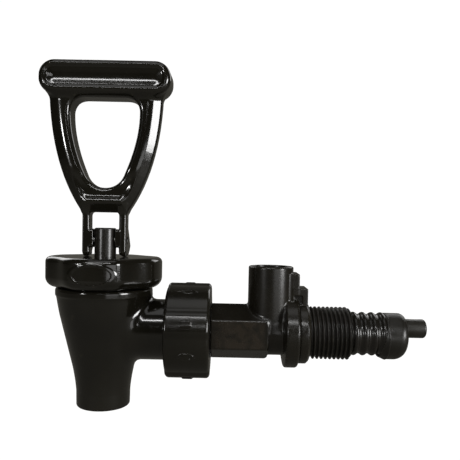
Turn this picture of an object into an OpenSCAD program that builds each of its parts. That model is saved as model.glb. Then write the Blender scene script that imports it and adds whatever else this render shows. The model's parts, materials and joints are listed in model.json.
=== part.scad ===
// Self-closing drinks faucet with a loop pull handle, a quick coupling and a
// gauge shank for a 7/8-14 wall fitting. Millimetres, +Z up, +X along the shank.
// The origin is the centre of the spout's mouth. Heights in the code are counted
// from the shank axis, and lifted() moves each piece up to the origin's frame.

/* [Faucet body] */
// Outside radius at the mouth of the spout
spout_r = 11.2; // [10.8:0.1:11.6]
// Depth of the spout mouth below the shank axis
spout_drop = 32.7; // [29:0.1:34]
// Outside radius of the collar under the bonnet
collar_r = 20.2; // [19.6:0.1:20.8]
// Outside radius of the side arm
arm_r = 12.8; // [11.8:0.05:13]
// Radius of the valve chamber
chamber_r = 12; // [11.6:0.1:12.4]
// Radius of the bore through the side arm and the shank
water_r = 5; // [4:0.1:5.4]

/* [Bonnet] */
// Outside radius across the lobes
bonnet_r = 24.1; // [23.5:0.1:25]
// Height of the bonnet's lower edge
bonnet_z = 17.9; // [17.2:0.1:18]
// Height of the bonnet's flat top
bonnet_top = 30.6; // [30.4:0.1:31.2]
// Radius of the thread that holds the bonnet
neck_r = 17; // [16.5:0.1:17.4]
// Radius of the rounded edge at the bonnet's top
bonnet_round = 2.2; // [1.5:0.1:5]
// Radius of the rounded edge at the bonnet's bottom
bonnet_tuck = 4.4; // [3:0.1:5]

/* [Handle] */
// Height of the pivot above the bonnet's top
pivot_rise = 6.9; // [6.4:0.1:7]
// Largest tilt of the handle in degrees
tilt_max = 60; // [45:1:65]
// Lift of the stem at the largest tilt
stem_lift = 3; // [2:0.1:3.4]
// Half width of the fork that stands on the bonnet
fork_half = 9.1; // [8.9:0.05:9.4]
// Thickness of the fork's arms, front to back
fork_t = 6.4; // [6:0.1:7]
// Gap between the arms of the fork
fork_gap = 12.6; // [12.2:0.05:12.8]
// Thickness of the loop, front to back
loop_t = 10.6; // [9:0.1:12]
// Half length of the grip bar
grip_half = 27.2; // [25:0.1:28]
// Radius of the grip bar
grip_r = 7; // [6.5:0.1:7.2]
// Height of the middle of the grip bar
grip_z = 104.3; // [102:0.1:106]

/* [Valve] */
// Radius of the stem
stem_r = 4.5; // [4.3:0.05:4.8]
// Radius of the pivot pin
pin_r = 1.6; // [1.4:0.05:1.8]
// Number of turns in the closing spring
spring_turns = 7; // [5:1:8]
// Radius of the spring wire
wire_r = 0.6; // [0.4:0.05:0.7]

/* [Coupling] */
// Outside radius over the ribs of the coupling nut
nut_r = 20; // [19.6:0.1:20.4]
// Where the nut starts along the shank axis
nut_x = 26.9; // [26.6:0.1:27.2]
// Length of the nut
nut_l = 18.5; // [18.5:0.1:19.2]
// Radius of the thread on the arm
coupling_r = 15.6; // [15.2:0.1:15.8]

/* [Shank] */
// Width of the hexagon across its flats
hex_af = 20.4; // [19.8:0.1:20.6]
// Position of the gauge port along the shank axis
port_x = 70.5; // [70:0.1:71]
// Outside radius of the gauge port
port_r = 9.5; // [9.2:0.1:9.7]
// Radius of the socket for the gauge glass
socket_r = 8; // [7.6:0.05:8.1]
// Height of the gauge port's rim
port_top = 28; // [26:0.1:29]
// Outside diameter of the mounting thread
thread_d = 22.22; // [22:0.02:22.3]
// Pitch of the mounting thread
thread_p = 1.814; // [1.7:0.002:1.9]
// Number of whole thread crests
thread_crests = 9; // [8:1:9]

/* [Inlet tail] */
// Radius of the ribs on the tail sleeve
rib_r = 9.2; // [8.9:0.05:9.4]
// Radius of the end cap
cap_r = 9.8; // [9.4:0.1:10]
// Radius of the inlet tube
tube_r = 4; // [3.8:0.05:4.2]
// Position of the inlet tube's open end
tube_end = 136.5; // [134:0.5:140]

/* [Hidden] */
$fn = 96;
// Free play between parts that turn or slide on each other
gap = 0.05;
// Overlap that keeps cuts and joins clean
over = 0.5;

// Levels inside the valve, from the bonnet down to the seat
neck_top = 24.5;
plate_z = 26.2;
washer_t = 0.8;
shoulder_z = 0;
shoulder_t = 2.5;
seat_top_z = -4;
seat_low_z = -13;
throat_r = 7;
outlet_r = 8.6;
pivot_z = bonnet_top + pivot_rise;
stem_top = pivot_z + 5.2;
// Height at which the fork's arms meet, and the feet's height over the pivot
fork_top = 49.4;
foot_h = 14.9;
// Half width of the loop where it meets the grip bar
loop_half = 23.4;
cup_in_r = 8.5;
cup_out_r = 9.8;
ball_r = 3.8;
ball_z = -8;
ball_neck_r = 2.6;
flange_r = 15.5;
cup_flange_t = 1.1;

// Stations along the shank axis
arm_end = 37;
arm_thread_l = 9.5;
arm_bore_r = water_r + 1.5;
shank_start = 39;
ring_x = 40.6;
ring_t = 1.8;
barrel_r = 9.6;
groove_r = 8.3;
slip_x = ring_x + ring_t + gap;
slip_t = 1.3;
lip_x = slip_x + slip_t + gap;
nut_end = nut_x + nut_l;
hex_r = hex_af / sqrt(3);
hex_start = 45.6;
hex_end = 69.5;
flange_x = 75.6;
washer_x = 82.1;
washer_end = 86.5;
washer_r = 13.1;
thread_x = 87.4;
thread_end = 104.2;
spigot_r = 6.6;
spigot_end = 116;
sleeve_end = 118.5;
cap_end = 127.9;
cap_drop = 0.8;
tube_rise = 2.6;
tube_start = 122.5;
tube_in_r = 3.55;
tube_groove_x = tube_start + 2;
tube_groove_end = tube_start + 3.1;
seal_z = 13;
seal_t = 2;
gauge_bore_r = 3.2;
tail_groove_x = 108.7;
tail_groove_r = 5.3;

// Moves a piece laid out about the shank axis into the frame of the spout's mouth
module lifted() {
    translate([0, 0, spout_drop]) children();
}

// Lays a solid made along +Z down along +X
module along_x() {
    rotate([0, 90, 0]) children();
}

// A ring about the X axis, from x0 to x1
module ring_x(x0, x1, inner, outer) {
    translate([x0, 0, 0]) along_x() difference() {
        cylinder(r = outer, h = x1 - x0);
        translate([0, 0, -over]) cylinder(r = inner, h = x1 - x0 + 2 * over);
    }
}

// A ring about the Z axis, from z0 to z1
module ring_z(z0, z1, inner, outer) {
    translate([0, 0, z0]) difference() {
        cylinder(r = outer, h = z1 - z0);
        translate([0, 0, -over]) cylinder(r = inner, h = z1 - z0 + 2 * over);
    }
}

// Points of an arc about (cx, cy), from angle a0 to a1
function arc(cx, cy, r, a0, a1, n = 8) =
    [for (i = [0:n]) let (a = a0 + (a1 - a0) * i / n) [cx + r * cos(a), cy + r * sin(a)]];

// Point of a curve that leaves p0 towards p1 and arrives at p2
function bend(p0, p1, p2, t) = (1 - t) * (1 - t) * p0 + 2 * t * (1 - t) * p1 + t * t * p2;

// ---------------------------------------------------------------- faucet body

// Outline of the body, from the axis at the spout mouth up to the neck
function body_outline() = let (mouth_round = 1.2) concat(
    [[0, -spout_drop]],
    arc(spout_r - mouth_round, -spout_drop + mouth_round, mouth_round, -90, 0),
    [for (i = [0:8]) bend([spout_r + 0.1, -26], [spout_r + 0.5, -21], [13, -15.2], i / 8)],
    [[collar_r - 0.9, 12], [collar_r, 14.2]],
    arc(collar_r - 1, bonnet_z - 1.2, 1, 0, 90),
    [[neck_r, bonnet_z - 0.2], [neck_r, neck_top - 0.8], [neck_r - 0.8, neck_top], [0, neck_top]]
);

// The chamber, the seat, the throat and the outlet as one bore
function bore_outline() = [
    [0, -spout_drop - over], [outlet_r, -spout_drop - over], [outlet_r, -20],
    [throat_r, -17.5], [throat_r, seat_low_z], [chamber_r, seat_top_z],
    [chamber_r, neck_top + over], [0, neck_top + over]
];

module faucet_body() {
    color([0.08, 0.08, 0.07]) lifted() difference() {
        union() {
            rotate_extrude() polygon(body_outline());
            along_x() cylinder(r = arm_r, h = arm_end - arm_thread_l + 1.5);
            ring_x(arm_end - arm_thread_l, arm_end, water_r, coupling_r);
        }
        rotate_extrude() polygon(bore_outline());
        along_x() cylinder(r = arm_bore_r, h = arm_end + over);
    }
}

// --------------------------------------------------------------------- bonnet

function bonnet_outline() = concat(
    [[0, bonnet_z]],
    arc(bonnet_r - bonnet_tuck, bonnet_z + bonnet_tuck, bonnet_tuck, -90, 0),
    arc(bonnet_r - bonnet_round, bonnet_top - bonnet_round, bonnet_round, 0, 90),
    [[0, bonnet_top]]
);

module bonnet() {
    scallop_r = 12;
    scallop_depth = 2.2;
    color([0.08, 0.08, 0.07]) lifted() difference() {
        rotate_extrude() polygon(bonnet_outline());
        for (a = [45:90:315])
            rotate([0, 0, a]) translate([bonnet_r + scallop_r - scallop_depth, 0, bonnet_z - over])
                cylinder(r = scallop_r, h = bonnet_top - bonnet_z + 2 * over);
        translate([0, 0, bonnet_z - over]) cylinder(r = neck_r + 2 * gap, h = plate_z - bonnet_z + over);
        cylinder(r = stem_r + gap, h = bonnet_top + over);
    }
}

// --------------------------------------------------------------------- handle

// Outer side of the loop, from the fork up to the grip bar
function loop_side(s) =
    [for (i = [0:16])
        let (p = bend([9.5, fork_top], [22.1, 67.5], [loop_half, 97], i / 16))
        [s * p[0], p[1]]];

module loop_profile() {
    difference() {
        polygon(concat(
            [for (i = [16:-1:0]) loop_side(-1)[i]],
            loop_side(1),
            [[loop_half, grip_z], [-loop_half, grip_z]]
        ));
        loop_opening();
    }
}

// Right half of the finger opening: a rounded point, a bowed side and a rounded corner
function opening_half() = concat(
    arc(0, 68.4, 9, -90, -24, 8),
    [for (i = [1:8]) bend([8.24, 64.78], [14.35, 78.7], [14.4, 90.7], i / 8)],
    arc(8.2, 90.7, 6.2, 0, 90, 8),
    [[-over, 96.9], [-over, 59.4]]
);

module loop_opening() {
    polygon(opening_half());
    mirror([1, 0]) polygon(opening_half());
}

// Side view of a foot about the pivot: an involute cam behind, a flat heel in front.
// Its reach below the pivot grows evenly with the tilt, so it lifts the stem evenly.
function cam_point(tilt) =
    let (k = stem_lift / (tilt_max * PI / 180), reach = pivot_rise - gap + k * tilt * PI / 180)
    [reach * sin(tilt) + k * cos(tilt), -reach * cos(tilt) + k * sin(tilt)];

function foot_outline() = concat(
    [for (i = [16:-1:0]) cam_point(tilt_max * i / 16)],
    [[1.7 - fork_t / 2, gap - pivot_rise], [-fork_t / 2, 1.7 - pivot_rise], [-fork_t / 2, foot_h]],
    [[fork_t / 2, foot_h], [4.2, 6]]
);

// One arm of the fork. Its cam lobe is narrow and stands behind; the rest is a plain flat bar.
module foot() {
    lobe_w = 1.4;
    lobe_x = fork_half - 0.2 - lobe_w;
    translate([0, 0, pivot_z]) rotate([90, 0, 90]) {
        translate([0, 0, lobe_x]) linear_extrude(lobe_w) polygon(foot_outline());
        translate([0, 0, fork_gap / 2]) linear_extrude(fork_half - fork_gap / 2) intersection() {
            polygon(foot_outline());
            translate([-fork_t / 2, -pivot_rise]) square([fork_t, pivot_rise + foot_h]);
        }
    }
}

module handle() {
    boss_r = fork_t / 2;
    boss_x = stem_r + 0.14;
    boss_l = fork_gap / 2 - boss_x + over;
    color([0.08, 0.08, 0.07]) lifted() difference() {
        union() {
            translate([0, loop_t / 2, 0]) rotate([90, 0, 0]) linear_extrude(loop_t) loop_profile();
            foot();
            mirror([1, 0, 0]) foot();
            for (s = [-1, 1]) translate([s * (boss_x + boss_l / 2), 0, pivot_z]) along_x()
                cylinder(r = boss_r, h = boss_l, center = true);
            translate([grip_r - grip_half, 0, grip_z]) along_x()
                cylinder(r = grip_r, h = 2 * (grip_half - grip_r));
            for (s = [-1, 1]) translate([s * (grip_half - grip_r), 0, grip_z]) sphere(r = grip_r);
        }
        translate([-fork_half - over, 0, pivot_z]) along_x()
            cylinder(r = pin_r + gap, h = 2 * (fork_half + over));
    }
}

module pivot_pin() {
    pin_half = fork_half - 0.3;
    color([0.6, 0.6, 0.6]) lifted() translate([-pin_half, 0, pivot_z]) along_x()
        cylinder(r = pin_r, h = 2 * pin_half);
}

// ---------------------------------------------------------------------- valve

module valve_stem() {
    chamfer = 0.6;
    color([0.1, 0.1, 0.09]) lifted() difference() {
        union() {
            translate([0, 0, shoulder_z]) cylinder(r = stem_r, h = stem_top - shoulder_z - chamfer);
            translate([0, 0, stem_top - chamfer]) cylinder(r1 = stem_r, r2 = stem_r - chamfer, h = chamfer);
            translate([0, 0, shoulder_z - shoulder_t]) cylinder(r = cup_in_r - 0.9, h = shoulder_t);
            translate([0, 0, ball_z]) cylinder(r = ball_neck_r, h = shoulder_z - ball_z - 1);
            translate([0, 0, ball_z]) sphere(r = ball_r);
        }
        translate([-stem_r - over, 0, pivot_z]) along_x() cylinder(r = pin_r + 0.02, h = 2 * (stem_r + over));
    }
}

module upper_spring_washer() {
    color("silver") lifted()
        ring_z(plate_z - washer_t, plate_z - 0.02, stem_r + 0.15, cup_in_r - 0.15);
}

module lower_spring_washer() {
    color("silver") lifted()
        ring_z(shoulder_z + 0.02, shoulder_z + washer_t, stem_r + 0.15, cup_in_r - 0.6);
}

// A round wire wound from z0 to z1, its first and last turns lying flat
module coil(mean_r, wire, turns, z0, z1) {
    steps = 24;
    sides = 8;
    rings = turns * steps;
    tall = z1 - z0 - 2 * wire;
    function rise(i) =
        let (t = i / steps)
        t < 1 ? wire * t * t
            : t > turns - 1 ? tall - wire * (turns - t) * (turns - t)
            : wire + (tall - 2 * wire) * (t - 1) / (turns - 2);
    points = [for (i = [0:rings], j = [0:sides - 1])
        let (a = 360 * i / steps, b = 360 * j / sides, r = mean_r + wire * cos(b))
        [r * cos(a), r * sin(a), z0 + wire + rise(i) + wire * sin(b)]];
    skin = [for (i = [0:rings - 1], j = [0:sides - 1]) let (k = (j + 1) % sides)
        [i * sides + j, i * sides + k, (i + 1) * sides + k, (i + 1) * sides + j]];
    first = [for (j = [sides - 1:-1:0]) j];
    last = [for (j = [0:sides - 1]) rings * sides + j];
    polyhedron(points, concat(skin, [first, last]));
}

module closing_spring() {
    color("silver") lifted()
        coil(6.5, wire_r, spring_turns, shoulder_z + washer_t + 0.05, plate_z - washer_t - 0.05);
}

// A thimble of silicone: a flange held under the bonnet, a thin wall and a plug on the seat
function cup_outline() =
    let (lift = 0.06, slope = (chamber_r - throat_r) / (seat_top_z - seat_low_z)) concat(
    [[0, seat_low_z - 1.6]],
    [[4.2, seat_low_z - 1.6], [6.2, seat_low_z - 0.6]],
    [[throat_r - 0.1, seat_low_z + 0.3 + lift]],
    [[throat_r + slope * (seat_top_z - 1.5 - seat_low_z) - lift, seat_top_z - 1.5]],
    [[10.4, seat_top_z], [cup_out_r, seat_top_z + 3], [cup_out_r, neck_top + 0.02]],
    [[flange_r, neck_top + 0.02], [flange_r, neck_top + cup_flange_t], [cup_in_r, neck_top + cup_flange_t]],
    [[cup_in_r, shoulder_z - shoulder_t - 0.1], [0, shoulder_z - shoulder_t - 0.1]]
);

module seat_cup() {
    color([0.85, 0.82, 0.76]) lifted() difference() {
        rotate_extrude() polygon(cup_outline());
        translate([0, 0, ball_z]) sphere(r = ball_r + gap);
        translate([0, 0, ball_z]) cylinder(r = ball_neck_r + gap, h = -ball_z);
    }
}

module slip_washer() {
    color([0.8, 0.8, 0.78]) lifted()
        ring_z(neck_top + cup_flange_t + 0.02, plate_z - 0.02, cup_in_r + 0.1, flange_r + 0.1);
}

// ------------------------------------------------------------------- coupling

function nut_outline(r) = let (edge = 1.8) concat(
    [[0, 0]],
    arc(r - edge, edge, edge, -90, 0),
    arc(r - edge, nut_l - edge, edge, 0, 90),
    [[0, nut_l]]
);

module coupling_nut() {
    rib_w = 10.5;
    rib_turn = 12;
    tab = [4.4, 3, 0.8];
    lip_r = hex_r + 0.15;
    color([0.09, 0.09, 0.08]) lifted() difference() {
        union() {
            translate([nut_x, 0, 0]) along_x() rotate_extrude() polygon(nut_outline(nut_r - 1));
            intersection() {
                translate([nut_x, 0, 0]) along_x() rotate_extrude() polygon(nut_outline(nut_r));
                rotate([rib_turn, 0, 0]) union() {
                    translate([nut_x, -nut_r - 1, -rib_w / 2]) cube([nut_l, 2 * nut_r + 2, rib_w]);
                    translate([nut_x, -rib_w / 2, -nut_r - 1]) cube([nut_l, rib_w, 2 * nut_r + 2]);
                }
            }
            for (a = [0:90:270]) rotate([rib_turn + a, 0, 0])
                translate([nut_x + nut_l / 2, 0, nut_r + tab[2] / 2 - over])
                    cube(tab + [0, 0, 2 * over], center = true);
        }
        translate([nut_x - over, 0, 0]) along_x() cylinder(r = coupling_r + gap, h = lip_x - nut_x + over);
        translate([lip_x - over, 0, 0]) along_x() cylinder(r = lip_r, h = nut_end - lip_x + 2 * over);
    }
}

module slip_ring() {
    color([0.8, 0.8, 0.78]) lifted()
        ring_x(slip_x, slip_x + slip_t, hex_r + 0.2, coupling_r - 0.1);
}

module c_ring() {
    slot_w = 6;
    slot_turn = -60;
    color([0.3, 0.3, 0.3]) lifted() difference() {
        ring_x(ring_x + 0.02, ring_x + ring_t, groove_r + gap, coupling_r - 1.6);
        rotate([slot_turn, 0, 0]) translate([ring_x - over, -slot_w / 2, 0])
            cube([ring_t + 2 * over, slot_w, coupling_r]);
    }
}

module coupling_gasket() {
    color([0.2, 0.2, 0.2]) lifted()
        ring_x(arm_end + 0.02, shank_start - 0.02, arm_bore_r, coupling_r - 1.4);
}

// ---------------------------------------------------------------------- shank

// Half section of the thread: ring crests at the thread's own pitch
function thread_outline() =
    let (crest = 0.42, depth = 1.1, major = thread_d / 2, flank = (thread_p - crest) / 2)
    concat(
        [[0, washer_x], [major - 0.2, washer_x], [major - 0.2, washer_end], [major - depth, washer_end + 0.4]],
        [for (i = [0:thread_crests - 1], s = [0:3])
            let (x = thread_x + i * thread_p, at = [0, flank, flank + crest, thread_p])
            [s == 1 || s == 2 ? major : major - depth, x + at[s]]],
        [[major - depth, thread_end - 0.4], [major - depth - 0.4, thread_end], [0, thread_end]]
    );

// Half section of the flange: a slanted back, a round rim and a flat face
function flange_outline() = concat(
    [[0, flange_x], [10.4, flange_x]],
    [[13.9, flange_x + 0.6]],
    arc(13.9, flange_x + 1.6, 1, -60, 0, 4),
    arc(13.9, washer_x - 1, 1, 0, 90, 6),
    [[0, washer_x]]
);

module hex_bar() {
    intersection() {
        translate([hex_start, 0, 0]) along_x() cylinder(r = hex_r, h = hex_end - hex_start, $fn = 6);
        translate([hex_start, 0, 0]) along_x() rotate_extrude() polygon([
            [0, 0], [hex_r - 0.8, 0], [hex_r + 0.1, 0.8], [hex_r + 0.1, hex_end - hex_start - 1.3],
            [hex_r - 1.3, hex_end - hex_start], [0, hex_end - hex_start]
        ]);
    }
}

// Stepped lug behind the port, which a gauge guard leans on
module gauge_lug() {
    half_w = 6;
    lug_x = 77;
    step_x = 82.2;
    lug_end = 85.8;
    high = 25.3;
    low = 19.3;
    notch = [3.4, 3, 3.6];
    difference() {
        union() {
            translate([lug_x, -half_w, 0]) cube([step_x - lug_x, 2 * half_w, high]);
            translate([step_x - 1, -half_w, 0]) cube([lug_end - step_x + 1, 2 * half_w, low]);
        }
        for (s = [-1, 1]) translate([80, s * half_w - notch[1] / 2, 12.5]) cube(notch);
        translate([washer_x, 0, 0]) along_x() cylinder(r = washer_r + gap, h = 2 * (lug_end - washer_x));
    }
}

module shank() {
    hub_r = 9.75;
    ring_end = ring_x + ring_t + 0.02;
    relief = 0.4;
    color([0.1, 0.09, 0.08]) lifted() difference() {
        union() {
            translate([shank_start, 0, 0]) along_x() cylinder(r = barrel_r, h = ring_x - shank_start);
            translate([ring_x - over, 0, 0]) along_x() cylinder(r = groove_r, h = ring_t + 2 * over);
            translate([ring_end, 0, 0]) along_x() cylinder(r = barrel_r, h = hex_start - ring_end + 1);
            hex_bar();
            translate([hex_end - over, 0, 0]) along_x() cylinder(r = hub_r, h = flange_x - hex_end + 2 * over);
            translate([port_x, 0, 0]) cylinder(r = port_r, h = port_top);
            along_x() rotate_extrude() polygon(flange_outline());
            gauge_lug();
            along_x() rotate_extrude() polygon(thread_outline());
            translate([thread_end - over, 0, 0]) along_x() cylinder(r = spigot_r, h = spigot_end - thread_end + over);
        }
        translate([shank_start - over, 0, 0]) along_x() cylinder(r = water_r, h = spigot_end - shank_start + 2 * over);
        translate([port_x, 0, seal_z + seal_t]) cylinder(r = socket_r, h = port_top);
        translate([port_x, 0, seal_z + seal_t - relief]) cylinder(r = socket_r + relief, h = relief);
        translate([port_x, 0, seal_z]) cylinder(r = socket_r - 1, h = port_top);
        translate([port_x, 0, 0]) cylinder(r = gauge_bore_r, h = seal_z + over);
        ring_x(tail_groove_x - 0.7, tail_groove_x + 0.7, tail_groove_r, spigot_r + over);
    }
}

module gauge_seal() {
    color([0.2, 0.2, 0.2]) lifted() translate([port_x, 0, 0])
        ring_z(seal_z + 0.02, seal_z + seal_t - 0.5, gauge_bore_r, socket_r - 1.02);
}

// Rubber washer between the flange and the wall of the vessel
module shank_washer() {
    inner = thread_d / 2 + 0.1;
    outer = washer_r;
    color([0.12, 0.12, 0.11]) lifted() along_x() rotate_extrude() polygon([
        [inner, washer_x + 0.02], [outer - 0.5, washer_x + 0.02], [outer, washer_x + 0.6],
        [outer, washer_end - 0.9], [outer - 0.9, washer_end], [inner, washer_end]
    ]);
}

// ----------------------------------------------------------------- inlet tail

// Half section of the sleeve, its ribs following a cosine
function sleeve_outline() =
    let (pitch = 3.9, first = 106, dip = 0.85, inner = spigot_r + 0.02, x0 = thread_end + 0.02) concat(
    [[inner, x0]],
    [for (i = [0:44]) let (x = x0 + (sleeve_end - x0) * i / 44)
        [rib_r - dip / 2 + dip / 2 * cos(360 * (x - first) / pitch), x]],
    [[inner, sleeve_end]]
);

module ribbed_tail() {
    color([0.11, 0.11, 0.1]) lifted() along_x() rotate_extrude() polygon(sleeve_outline());
}

module tail_cap() {
    cap_round = 3.6;
    color([0.1, 0.1, 0.09]) lifted() difference() {
        union() {
            translate([0, 0, -cap_drop]) along_x() rotate_extrude() polygon(concat(
                [[0, sleeve_end + 0.02], [cap_r - 0.6, sleeve_end + 0.02], [cap_r, sleeve_end + 0.6]],
                arc(cap_r - cap_round, cap_end - cap_round, cap_round, 0, 90),
                [[0, cap_end]]
            ));
            translate([spigot_end + 0.05, 0, 0]) along_x() cylinder(r = spigot_r, h = sleeve_end - spigot_end + over);
        }
        translate([spigot_end - over, 0, 0]) along_x() cylinder(r = water_r, h = tube_start - spigot_end);
        translate([tube_start - 1, 0, tube_rise]) along_x() cylinder(r = tube_in_r + 0.02, h = 20);
    }
}

module tail_o_ring() {
    cord_r = 0.62;
    color([0.2, 0.2, 0.2]) lifted() translate([tail_groove_x, 0, 0]) along_x() rotate_extrude()
        translate([tail_groove_r + cord_r + gap, 0]) circle(r = cord_r, $fn = 24);
}

module inlet_tube() {
    groove_depth = 0.9;
    tip_round = 1.2;
    bore_r = 2.3;
    color([0.1, 0.1, 0.09]) lifted() translate([0, 0, tube_rise]) difference() {
        along_x() rotate_extrude() polygon(concat(
            [[0, tube_start], [tube_in_r, tube_start], [tube_in_r, tube_groove_x]],
            [[tube_in_r - groove_depth, tube_groove_x], [tube_in_r - groove_depth, tube_groove_end]],
            [[tube_in_r, tube_groove_end], [tube_in_r, cap_end + gap], [tube_r, cap_end + gap]],
            arc(tube_r - tip_round, tube_end - tip_round, tip_round, 0, 90),
            [[0, tube_end]]
        ));
        translate([tube_start - over, 0, 0]) along_x() cylinder(r = bore_r, h = tube_end - tube_start + 2 * over);
    }
}

module tube_o_ring() {
    cord_r = 0.42;
    color([0.2, 0.2, 0.2]) lifted() translate([(tube_groove_x + tube_groove_end) / 2, 0, tube_rise]) along_x()
        rotate_extrude() translate([tube_in_r - 0.02 - cord_r, 0]) circle(r = cord_r, $fn = 24);
}

faucet_body();
bonnet();
slip_washer();
handle();
pivot_pin();
valve_stem();
upper_spring_washer();
lower_spring_washer();
closing_spring();
seat_cup();
coupling_nut();
slip_ring();
c_ring();
coupling_gasket();
shank();
gauge_seal();
shank_washer();
ribbed_tail();
tail_cap();
tail_o_ring();
inlet_tube();
tube_o_ring();
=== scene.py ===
import json
import math

import bmesh
import bpy
import numpy as np
from mathutils import Matrix, Vector


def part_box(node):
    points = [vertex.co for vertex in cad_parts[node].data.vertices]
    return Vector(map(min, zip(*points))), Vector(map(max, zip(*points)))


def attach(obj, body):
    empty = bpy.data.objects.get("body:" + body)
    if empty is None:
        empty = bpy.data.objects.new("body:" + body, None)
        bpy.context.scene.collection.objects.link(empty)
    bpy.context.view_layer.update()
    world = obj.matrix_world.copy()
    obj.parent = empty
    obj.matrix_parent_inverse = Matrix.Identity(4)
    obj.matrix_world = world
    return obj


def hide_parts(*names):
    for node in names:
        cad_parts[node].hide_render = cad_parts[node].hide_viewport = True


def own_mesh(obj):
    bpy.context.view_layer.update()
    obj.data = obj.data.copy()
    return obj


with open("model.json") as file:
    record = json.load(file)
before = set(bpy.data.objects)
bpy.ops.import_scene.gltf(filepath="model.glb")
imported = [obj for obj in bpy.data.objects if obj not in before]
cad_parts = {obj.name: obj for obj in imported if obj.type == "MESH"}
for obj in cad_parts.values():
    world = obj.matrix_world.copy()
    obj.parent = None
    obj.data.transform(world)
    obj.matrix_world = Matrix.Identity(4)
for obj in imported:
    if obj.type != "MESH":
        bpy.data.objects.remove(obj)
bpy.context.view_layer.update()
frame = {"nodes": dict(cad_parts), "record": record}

# The shapes below are laid out in millimetres, with heights counted from the shank axis.
MM, UM = 0.001, 0.000001
MOUNTS = {m["name"]: m for m in frame["record"]["mounts"]}
AXIS_Z = MOUNTS["shank_thread"]["pos_m"][2] / MM
# Gaps between pieces that move on each other, and between fixed ones.
FREE_PLAY, FIT = 0.05, 0.02


def span(node):
    """Lowest and highest corner of a CAD node, in millimetres about the shank axis."""
    lift = Vector((0, 0, AXIS_Z))
    return [Vector(corner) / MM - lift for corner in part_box(node)]


# ------------------------------------------------------------------ distance fields


def join(a, b, k):
    """Union of two fields, blended by a fillet about k wide."""
    h = np.maximum(k - np.abs(a - b), 0) / k
    return np.minimum(a, b) - h * h * k / 4


def meet(a, b, k):
    """Intersection of two fields, its edge rounded about k wide."""
    return -join(-a, -b, k)


def cut(a, b, k):
    """The first field less the second, the new edge rounded about k wide."""
    return meet(a, -b, k)


def slab(plan, height, r):
    """A plan extruded to a height: both are signed distances, and the edges are rounded to r."""
    p, h = plan + r, height + r
    return np.minimum(np.maximum(p, h), 0) + np.hypot(np.maximum(p, 0), np.maximum(h, 0)) - r


def between(v, low, high):
    """Distance outside the range from low to high, negative inside."""
    return np.abs(v - (low + high) / 2) - (high - low) / 2


def rod(along, radius, start, end, r, edge):
    """A cylinder of radius r from start to end, the edges of its ends rounded."""
    return slab(radius - r, between(along, start, end), edge)


def block(place, low, high, edge):
    """A box with rounded edges."""
    x, y, z = (between(c, a, b) for c, a, b in zip(place, low, high))
    return slab(slab(x, y, edge), z, edge)


def outline_distance(u, v, points):
    """Signed distance in a plane to a closed outline, negative inside."""
    nearest = np.full(u.shape, np.inf)
    sign = np.ones(u.shape)
    for (ax, ay), (bx, by) in zip(points, points[1:] + points[:1]):
        ex, ey = bx - ax, by - ay
        if ex * ex + ey * ey < 1e-12:
            continue
        wx, wy = u - ax, v - ay
        t = np.clip((wx * ex + wy * ey) / (ex * ex + ey * ey), 0, 1)
        nearest = np.minimum(nearest, (wx - ex * t) ** 2 + (wy - ey * t) ** 2)
        above, below, left = v >= ay, v < by, ex * wy > ey * wx
        sign = np.where((above & below & left) | ~(above | below | left), -sign, sign)
    return sign * np.sqrt(nearest)


def smooth(t):
    """A step from 0 to 1 with soft ends."""
    t = np.clip(t, 0, 1)
    return t * t * (3 - 2 * t)


def arc(cx, cy, r, start, end, n=10):
    """Points of an arc, its angles in degrees."""
    turn = [math.radians(start + (end - start) * i / n) for i in range(n + 1)]
    return [(cx + r * math.cos(a), cy + r * math.sin(a)) for a in turn]


def bend(p0, p1, p2, n):
    """Points of a curve that leaves p0 towards p1 and arrives at p2."""
    steps = [i / n for i in range(n + 1)]
    return [
        tuple((1 - t) ** 2 * a + 2 * t * (1 - t) * b + t * t * c for a, b, c in zip(p0, p1, p2))
        for t in steps
    ]


# ------------------------------------------------------------------ mesh builders

SHARP_EDGE = math.radians(32)


def turn_outwards(mesh):
    """Makes the faces of a closed mesh look outwards."""
    shell = bmesh.new()
    shell.from_mesh(mesh)
    bmesh.ops.recalc_face_normals(shell, faces=shell.faces)
    shell.to_mesh(mesh)
    shell.free()


def finish_with(piece, finish):
    """A finish is a material and the slot of the CAD part that it stands for. Only the material is
    put on the piece; the slot is not used.
    """
    material, slot = finish
    piece.data.materials.clear()
    piece.data.materials.append(material)


def add_piece(name, points, faces, node, body, finish, normals=None):
    """A new object from millimetre points, which stands for a CAD node and rides on a body.
    Without normals of its own it is smooth, except at its sharp edges."""
    mesh = bpy.data.meshes.new(name)
    place = np.asarray(points, float) * MM + np.array([0, 0, AXIS_Z * MM])
    mesh.from_pydata(place.tolist(), [], faces)
    mesh.validate()
    if normals is None:
        turn_outwards(mesh)
        mesh.shade_smooth()
        mesh.set_sharp_from_angle(angle=SHARP_EDGE)
    else:
        mesh.shade_smooth()
        mesh.normals_split_custom_set_from_vertices(normals.tolist())
    piece = bpy.data.objects.new(name, mesh)
    bpy.context.scene.collection.objects.link(piece)
    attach(piece, body)
    if node:
        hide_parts(node)
    finish_with(piece, finish)
    return piece


def sample(field, axes, cells=8):
    """Field values on a grid. Blocks far from the surface keep the value at their middle."""
    step = axes[0][1] - axes[0][0]
    middles = [a[::cells] + step * (cells - 1) / 2 for a in axes]
    coarse = field(*np.meshgrid(*middles, indexing="ij"))
    value = coarse
    for i in range(3):
        value = np.repeat(value, cells, axis=i)
    value = value[tuple(slice(0, len(a)) for a in axes)].copy()
    near = np.abs(value) < step * (cells * 1.15 + 2)
    i, j, k = np.nonzero(near)
    value[near] = field(axes[0][i], axes[1][j], axes[2][k])
    return value


def gradient(field, p, h=0.02):
    """Direction in which the field grows, at each point."""
    columns = []
    for i in range(3):
        step = np.zeros(3)
        step[i] = h
        columns.append(field(*(p + step).T) - field(*(p - step).T))
    return np.stack(columns, 1) / (2 * h)


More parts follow.
